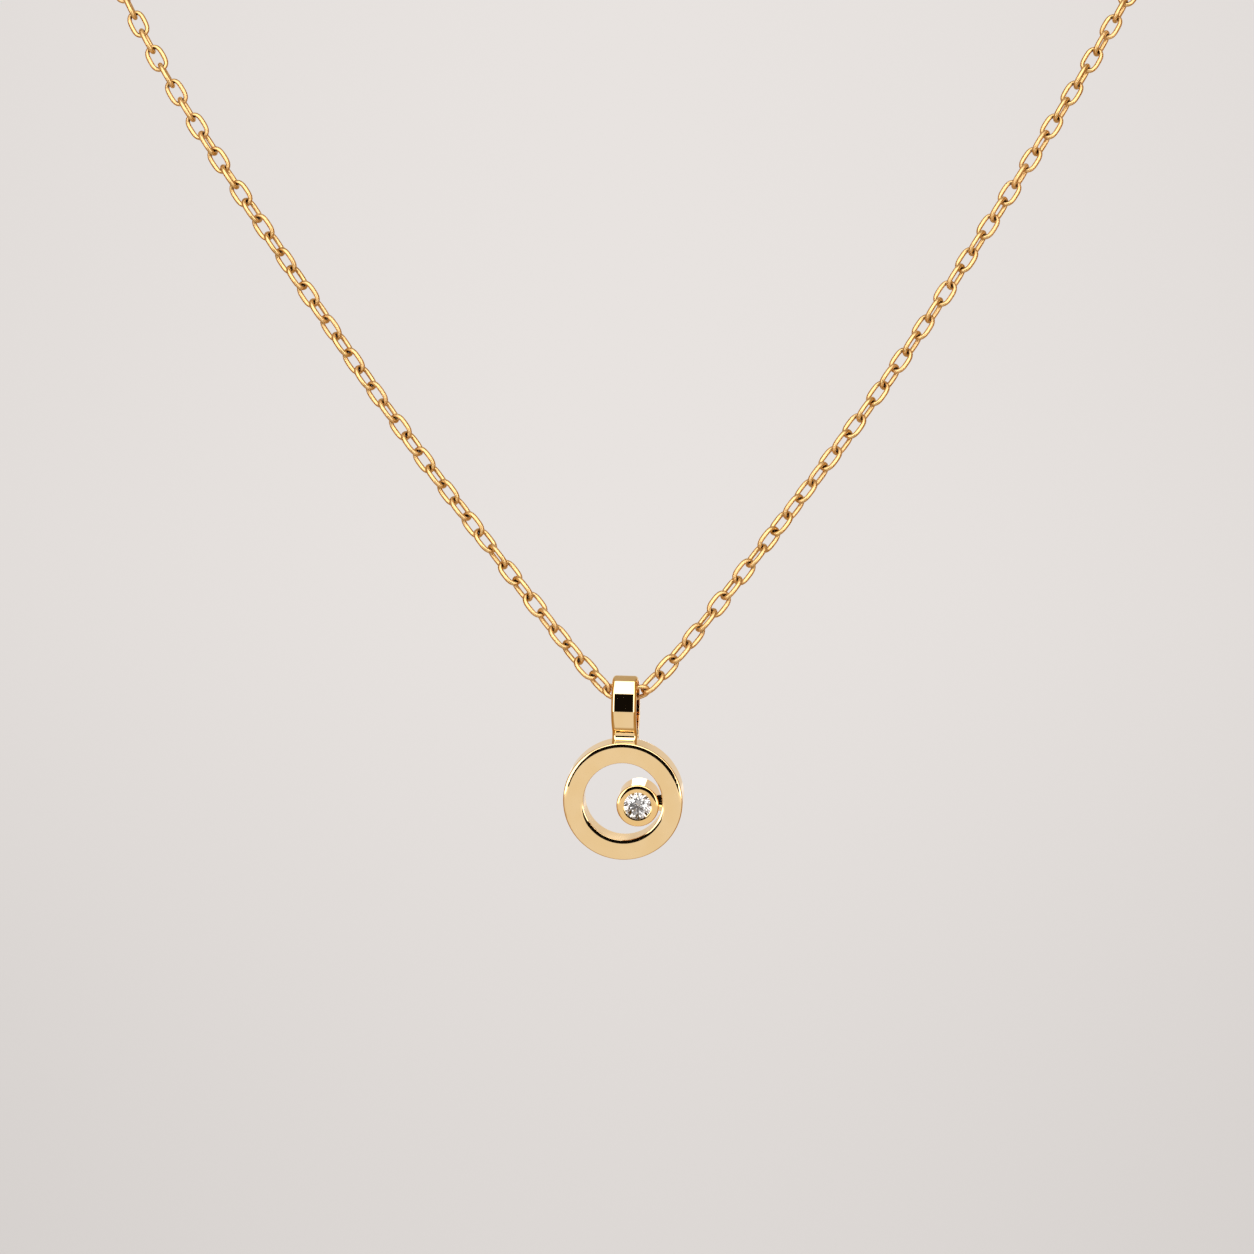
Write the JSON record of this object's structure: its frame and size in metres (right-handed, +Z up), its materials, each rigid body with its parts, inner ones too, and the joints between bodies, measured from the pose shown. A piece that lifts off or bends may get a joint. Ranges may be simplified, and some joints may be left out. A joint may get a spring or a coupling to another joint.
{
  "type": "circle pendant necklace",
  "caption": "Fine cable chain necklace with a flat circle pendant; a small round bezel set with a cut stone sits off centre inside the circle, on a tall tapered bail.",
  "frame": {"origin": "the nape, behind the neck, on the chain line's middle where the clasp rests, which is where the necklace hangs", "axes": "+X to the right of someone who looks at the necklace from the front, +Y backwards, -Y the way the pendant faces, +Z up"},
  "size_m": [0.1108, 0.1101, 0.1402],
  "materials": {
    "gold": "polished yellow gold",
    "stone": "clear faceted stone"
  },
  "bodies": {
    "chain": {"chain_left": "gold", "chain_right": "gold", "clasp": "gold", "end_ring": "gold"},
    "hanging_pendant": {"pendant": "gold", "stone": "stone"}
  },
  "joints": [
    {"name": "pendant_swing", "type": "hinge", "parent": "chain", "child": "hanging_pendant", "pos_m": [0, -0.106, -0.12208], "axis": [1, 0, 0], "range_deg": [-65, 65]}
  ]
}
